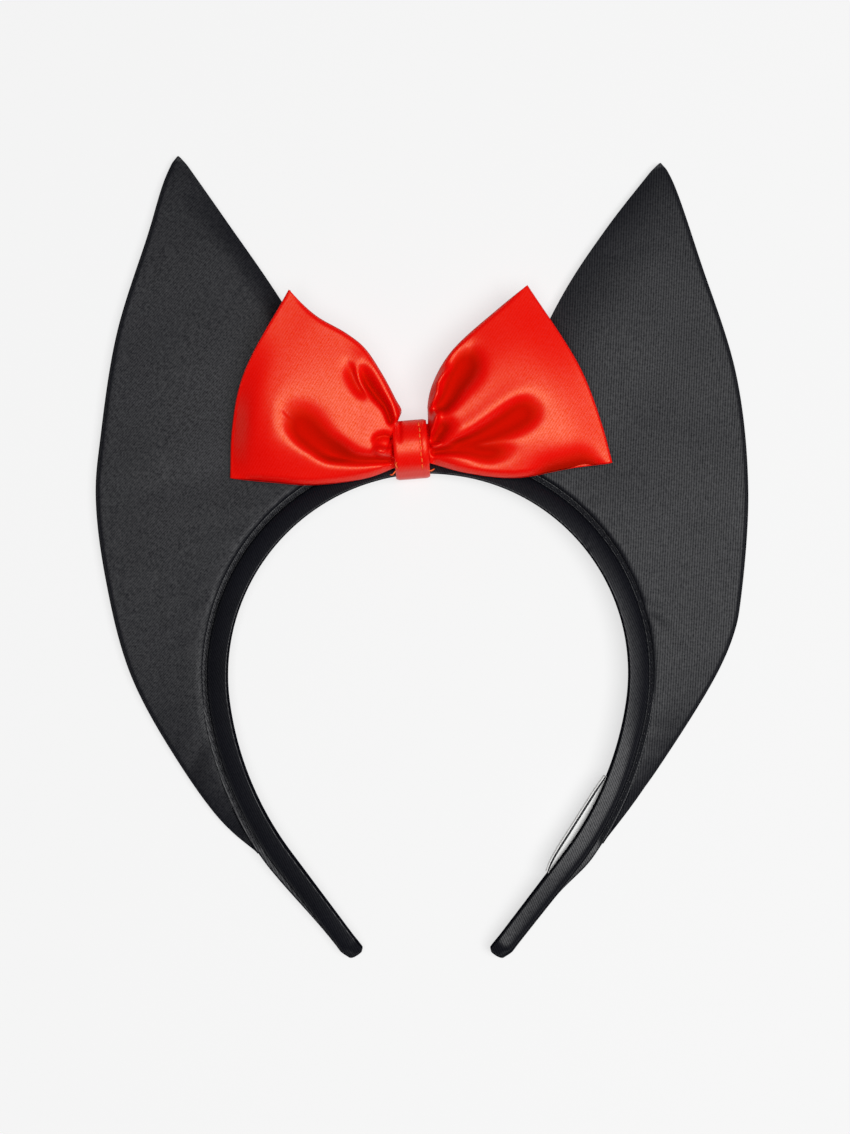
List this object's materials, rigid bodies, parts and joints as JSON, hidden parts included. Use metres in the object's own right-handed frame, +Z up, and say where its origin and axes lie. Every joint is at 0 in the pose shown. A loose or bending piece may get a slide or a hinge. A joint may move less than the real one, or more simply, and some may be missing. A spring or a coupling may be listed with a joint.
{
  "type": "bat headband",
  "caption": "Satin-covered headband with tall padded pointed bat ears sewn into its outer seam and a red satin bow knotted round its middle.",
  "frame": {"origin": "middle of the bounding box, on the surface that the headband lies on", "axes": "+X to the right, +Y towards the ear tips, +Z up, out of the bow's front"},
  "size_m": [0.2093, 0.2577, 0.0224],
  "materials": {
    "black_satin": "soft satin sheen",
    "red_satin": "soft satin sheen",
    "white_ribbon": "plain woven ribbon, bare"
  },
  "bodies": {
    "root": {"band": "black_satin", "ear_left": "black_satin", "ear_right": "black_satin", "bow_loop_left": "red_satin", "bow_loop_right": "red_satin", "bow_knot": "red_satin", "label": "white_ribbon"}
  },
  "joints": []
}
